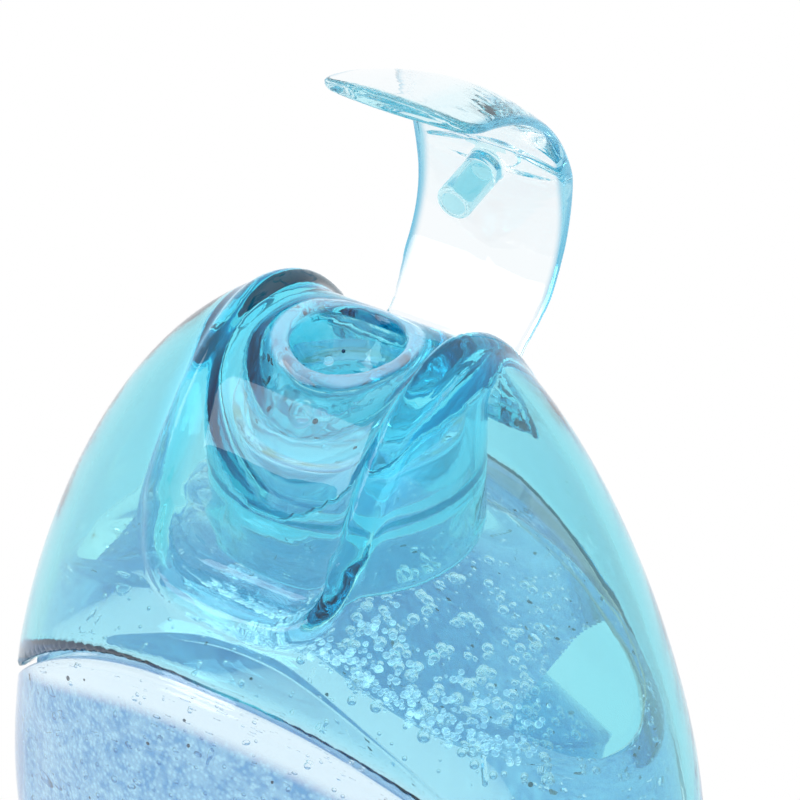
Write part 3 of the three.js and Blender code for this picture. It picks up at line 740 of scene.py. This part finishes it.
def cap_sheen():
    colours = {"Ridge": "Color", "Glow": "Color", "PaintedSheen": "Color"}
    tree, graph, given, result, place = new_group("rim_sheen", colours, ("Color", "Color"))
    side, y, z = graph.axes(place)
    reach = graph.math("SQRT", graph.math("ADD", graph.product(side, side), graph.product(y, y)))
    # painted sheen on the ring round the dish and on the deck behind it, and painted glow on the ridges
    # beside the channel
    ring = graph.product(graph.above(reach, 0.0056, 0.0062), graph.below(reach, 0.0072, 0.0078),
                         graph.above(z, 0.1704, 0.1712))
    deck = graph.product(graph.above(y, 0.0065, 0.0100), graph.above(z, 0.1660, 0.1690),
                         graph.below(side, 0.009, 0.010), 0.6)
    ridge = graph.product(graph.above(side, 0.0090, 0.0105), graph.below(side, 0.0125, 0.0150),
                          graph.above(z, 0.158, 0.166))
    lit = graph.mix(ridge, given["Glow"], given["Ridge"])
    graph.feed(result, graph.mix(graph.math("MAXIMUM", ring, deck), lit, given["PaintedSheen"]))
    return tree


def gel_film():
    """Beads are cells with a cloudy noise over them. Their field starts at the parting line at the sides
    and 5 mm below it in the middle."""
    sockets = {"Light": "Color", "Deep": "Color", "Size": "Float"}
    tree, graph, given, result, place = new_group("bead_mottle", sockets, ("Color", "Color"))
    side, _, z = graph.axes(place)
    noise, cells = graph.add("TexNoise"), graph.add("TexVoronoi")
    graph.feed(noise.inputs["Detail"], 4.0)
    for texture, share in ((noise, 0.45), (cells, 1.0)):
        graph.feed(texture.inputs["Vector"], place)
        graph.feed(texture.inputs["Scale"], graph.product(given["Size"], share))
    beads = graph.above(cells.outputs["Distance"], 0.15, 0.6)
    cloud = graph.above(noise.outputs["Fac"], 0.35, 0.65)
    clouded = graph.mix(graph.product(graph.math("ADD", beads, cloud), 0.5), given["Light"], given["Deep"])
    side = graph.product(side, 1000.0)
    arch = graph.product(graph.math("POWER", side, PARTING_POWER), -PARTING_FALL / 1000)
    rise = graph.product(graph.math("POWER", side, 4.0), 4.2e-9)
    edge = graph.math("ADD", graph.math("MINIMUM", rise, 0.005), (ORIFICE + PARTING - 5.0) / 1000)
    drop = graph.math("SUBTRACT", graph.math("ADD", arch, edge), z)
    graph.feed(result, graph.mix(graph.above(drop, -0.001, 0.001), WHITE, clouded))
    return tree


WHITE, BLACK = (1.0, 1.0, 1.0), (0.0, 0.0, 0.0)
GEL_INDEX = 1.37
colour_groups = {"lid": lid_film(), "cap": cap_sheen(), "gel": gel_film()}
print("groups", [tree.name for tree in colour_groups.values()])

# %% Finishes
def clear_plastic(name, film, tint, density, index, glow, ripple_size, ripple_depth, one_way=False):
    """Clear tinted plastic. Film and glow are each a colour, or a node group with its settings. With
    one_way the film tints only the light that goes in."""
    material, graph, output = new_material(name)
    shader = graph.add("BsdfPrincipled")
    film, glow = (colour if isinstance(colour[0], float) else graph.group(*colour) for colour in (film, glow))
    if one_way:
        film = graph.mix(graph.add("NewGeometry").outputs["Backfacing"], film, WHITE)
    for socket, value in (("Base Color", film), ("Roughness", 0.0), ("IOR", index), ("Emission Color", glow),
                          ("Emission Strength", 1.0), ("Transmission Weight", 1.0)):
        graph.feed(shader.inputs[socket], value)
    bump = graph.add("Bump")
    graph.feed(bump.inputs["Strength"], 0.5)
    graph.feed(bump.inputs["Distance"], ripple_depth)
    graph.feed(bump.inputs["Height"], graph.group(ripple, {"Size": ripple_size}))
    graph.feed(shader.inputs["Normal"], bump.outputs["Normal"])
    graph.feed(output.inputs["Surface"], shader.outputs["BSDF"])
    if density > 0:
        volume = graph.add("VolumeAbsorption")
        graph.feed(volume.inputs["Color"], tint)
        graph.feed(volume.inputs["Density"], density)
        graph.feed(output.inputs["Volume"], volume.outputs["Volume"])
    return material


def speck_colour(name, colour):
    material, graph, output = new_material(name)
    shader = graph.add("BsdfPrincipled")
    graph.feed(shader.inputs["Base Color"], colour)
    graph.feed(shader.inputs["Roughness"], 0.6)
    graph.feed(output.inputs["Surface"], shader.outputs["BSDF"])
    return material


lid_colours = {"Web": (0.95, 0.97, 0.985), "Rim": (0.17, 0.53, 0.73), "Plug": (0.52, 0.84, 0.90)}
# emission colours of the cap: a faint painted glow all over, a painted glow on the ridges, and a painted
# sheen on the dish ring and the deck
cap_glows = {"Glow": (0.0, 0.0056, 0.009), "PaintedSheen": (0.25, 0.26, 0.28), "Ridge": (0.0, 0.06, 0.09)}
gel_colours = {"Light": (0.24, 0.58, 0.80), "Deep": (0.02, 0.16, 0.46), "Size": 1700.0}
cap_look = clear_plastic("cap_clear_cyan", (0.93, 0.965, 0.98), (0.0, 0.81, 0.88), 340.0, 1.49,
                         (colour_groups["cap"], cap_glows), 60.0, 0.0002)
lid_look = clear_plastic("lid_clear_pale", (colour_groups["lid"], lid_colours), (0.0, 0.80, 0.88), 9.0, 1.49,
                         (0.0, 0.0025, 0.004), 60.0, 0.0002)
bottle_look = clear_plastic("bottle_clear", (0.96, 0.98, 1.0), (0.10, 0.72, 0.88), 14.0, 1.52,
                            (0.006, 0.011, 0.014), 40.0, 0.0002)
gel_look = clear_plastic("gel_blue", (colour_groups["gel"], gel_colours), (0.0, 0.50, 0.76), 4.5, GEL_INDEX,
                         (0.035, 0.03, 0.015), 90.0, 0.0001, one_way=True)
bowl_look = clear_plastic("gel_in_bowl", WHITE, (0.0, 0.54, 0.82), 13.0, GEL_INDEX, BLACK, 90.0, 0.0001)
bubble_look = clear_plastic("air_in_gel", WHITE, WHITE, 0.0, GEL_INDEX, BLACK, 90.0, 0.0)
froth_look = clear_plastic("froth_film", (0.97, 0.985, 1.0), WHITE, 0.0, 1.25, (0.06, 0.07, 0.075), 90.0, 0.0)
speck_look = speck_colour("dark_blue_specks", (0.03, 0.10, 0.22))
print("finishes", len(bpy.data.materials))

# %% Dress the pieces
for piece, look in ((cap, cap_look), (lid, lid_look), (bottle, bottle_look), (gel, gel_look),
                    (bowl_gel, bowl_look), (small, bubble_look), (large, bubble_look), (foam, bubble_look),
                    (bowl_bubbles, bubble_look), (froth, froth_look), (specks, speck_look),
                    (bowl_specks, speck_look)):
    piece.data.materials.clear()
    piece.data.materials.append(look)
    print(piece.name, "wears", look.name)

# %% [markdown]
# ## Floor, light and camera
# The photograph is lit like a white tent: light comes from all round and the background is plain white.
# The floor keeps the bottle's soft shadow near its foot and turns white further out. Seen through the
# plastic or in its reflections, the floor is plain white too, as a lit table is.

# %% Floor
floor_mesh = bpy.data.meshes.new("floor")
floor_mesh.from_pydata([(-6, -6, 0), (6, -6, 0), (6, 6, 0), (-6, 6, 0)], [], [(0, 1, 2, 3)])
floor = bpy.data.objects.new("floor", floor_mesh)
bpy.context.scene.collection.objects.link(floor)
material, graph, output = new_material("pale_floor")
matt, white, blend = graph.add("BsdfDiffuse"), graph.add("Emission"), graph.add("MixShader")
graph.feed(matt.inputs["Color"], (0.86, 0.86, 0.86))
graph.feed(white.inputs["Color"], WHITE)
graph.feed(white.inputs["Strength"], 1.0)
reach = graph.add("VectorMath", operation="LENGTH")
graph.feed(reach.inputs[0], graph.add("TexCoord").outputs["Object"])
# matt within 50 mm of the middle and white from 120 mm on
fade = graph.add("MapRange")
graph.feed(fade.inputs["From Min"], 0.05)
graph.feed(fade.inputs["From Max"], 0.12)
graph.feed(fade.inputs["Value"], reach.outputs["Value"])
path = graph.add("LightPath").outputs
far = graph.product(path["Is Camera Ray"], fade.outputs["Result"])
turned = graph.math("MAXIMUM", path["Is Transmission Ray"], path["Is Glossy Ray"])
graph.feed(blend.inputs["Fac"], graph.math("MAXIMUM", far, turned))
graph.feed(blend.inputs[1], matt.outputs["BSDF"])
graph.feed(blend.inputs[2], white.outputs["Emission"])
graph.feed(output.inputs["Surface"], blend.outputs["Shader"])
floor_mesh.materials.append(material)
print("floor", floor.name)

# %% Light
world = bpy.data.worlds.new("white_tent")
bpy.context.scene.world = world
world.use_nodes = True
world.node_tree.nodes.clear()
graph = Graph(world.node_tree)
output = graph.add("OutputWorld")
tent, plain, blend = graph.add("Background"), graph.add("Background"), graph.add("MixShader")
for sky, colour, strength in ((tent, (0.93, 0.96, 1.0), 0.8), (plain, WHITE, 1.0)):
    graph.feed(sky.inputs["Color"], colour)
    graph.feed(sky.inputs["Strength"], strength)
path = graph.add("LightPath").outputs
seen = graph.math("MAXIMUM", path["Is Camera Ray"], path["Is Glossy Ray"])
graph.feed(blend.inputs["Fac"], graph.math("MAXIMUM", seen, path["Is Transmission Ray"]))
graph.feed(blend.inputs[1], tent.outputs["Background"])
graph.feed(blend.inputs[2], plain.outputs["Background"])
graph.feed(output.inputs["Surface"], blend.outputs["Shader"])
# one weak, soft lamp, half a metre across, from the upper left front
lamp_place = (-0.5, -0.5, 0.7)
lamp = bpy.data.lights.new("key", "AREA")
lamp.size = 0.5
lamp.energy = 2.5
key = bpy.data.objects.new("key", lamp)
key.location = lamp_place
key.rotation_euler = (Vector((0, 0, 0.12)) - Vector(lamp_place)).to_track_quat("-Z", "Y").to_euler()
bpy.context.scene.collection.objects.link(key)
print("world", world.name, "and lamp", key.name)

# %% Camera
# the place and the focal length were fitted to the photograph together with the outer shape
azimuth, elevation, distance = math.radians(32.665), math.radians(35.094), 0.33592
level = math.cos(elevation)
back = Vector((math.sin(azimuth) * level, -math.cos(azimuth) * level, math.sin(elevation)))
right = Vector((math.cos(azimuth), math.sin(azimuth), 0))
up = back.cross(right)
camera = bpy.data.objects.new("camera", bpy.data.cameras.new("camera"))
camera.data.lens = 3429.7 / 800 * 36
camera.data.clip_start = 0.01
spot = Vector((0.006067, 0, ORIFICE / 1000 - 0.005468)) + back * distance
camera.matrix_world = Matrix.Translation(spot) @ Matrix((right, up, back)).transposed().to_4x4()
bpy.context.scene.collection.objects.link(camera)
bpy.context.scene.camera = camera
bpy.context.scene.view_settings.view_transform = "Standard"
cycles = bpy.context.scene.cycles
# light passes many clear walls, bubbles and drops before it reaches the camera
cycles.max_bounces = 26
cycles.transmission_bounces = 22
cycles.glossy_bounces = 16
cycles.transparent_max_bounces = 12
cycles.caustics_refractive = True
print("camera", camera.name, "lens", camera.data.lens)

# %% The end
bpy.context.view_layer.update()
